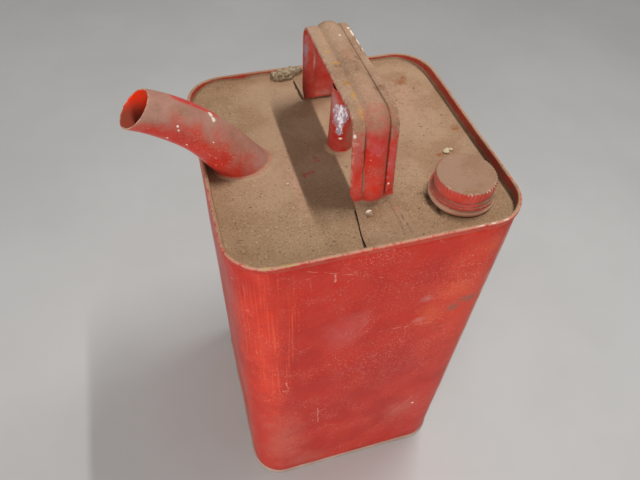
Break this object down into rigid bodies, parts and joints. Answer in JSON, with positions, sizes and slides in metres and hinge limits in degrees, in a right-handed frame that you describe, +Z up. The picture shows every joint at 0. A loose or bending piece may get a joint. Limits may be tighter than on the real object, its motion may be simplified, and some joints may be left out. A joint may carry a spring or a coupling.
{
  "type": "metal fuel can",
  "caption": "Upright square tinplate fuel can with folded seams, a strap handle over an air vent, a curved pouring spout and a filler neck closed by a knurled screw cap.",
  "frame": {"origin": "on the floor, in the middle of the box round the whole can with its spout", "axes": "+Z up, the spout points to -X, the filler neck stands at the front right, and -Y is the front"},
  "size_m": [0.225, 0.183, 0.3953],
  "materials": {
    "red_enamel": "worn, scratched red enamel",
    "dusty_enamel": "red enamel under tan dust",
    "painted_solder": "solder painted over, dusty",
    "seam_compound": "matt sealing compound",
    "rivet_steel": "worn bare steel",
    "liner_rubber": "matt rubber"
  },
  "bodies": {
    "can": {"body_wrapper": "red_enamel", "bottom_end": "red_enamel", "spout_tube": "red_enamel", "vent_tube": "red_enamel", "filler_neck": "red_enamel", "top_end": "dusty_enamel", "handle_strap": "dusty_enamel", "spout_solder": "painted_solder", "vent_solder": "painted_solder", "neck_solder": "painted_solder", "top_seam_seal": "seam_compound", "bottom_seam_seal": "seam_compound", "handle_rivet_front": "rivet_steel", "handle_rivet_rear": "rivet_steel"},
    "liner": {"cap_liner": "liner_rubber"},
    "cap": {"screw_cap": "dusty_enamel"}
  },
  "joints": [
    {"name": "cap_lift", "type": "slide", "parent": "can", "child": "liner", "axis": [0, 0, 1], "range_m": [0, 0.0075]},
    {"name": "cap_turn", "type": "hinge", "parent": "liner", "child": "cap", "pos_m": [0.07933, -0.0568, 0.34], "axis": [0, 0, 1], "range_deg": [0, 540]}
  ],
  "couplings": [
    {"joint": "cap_lift", "follows": "cap_turn", "m_per_rad": 0.00079577}
  ]
}
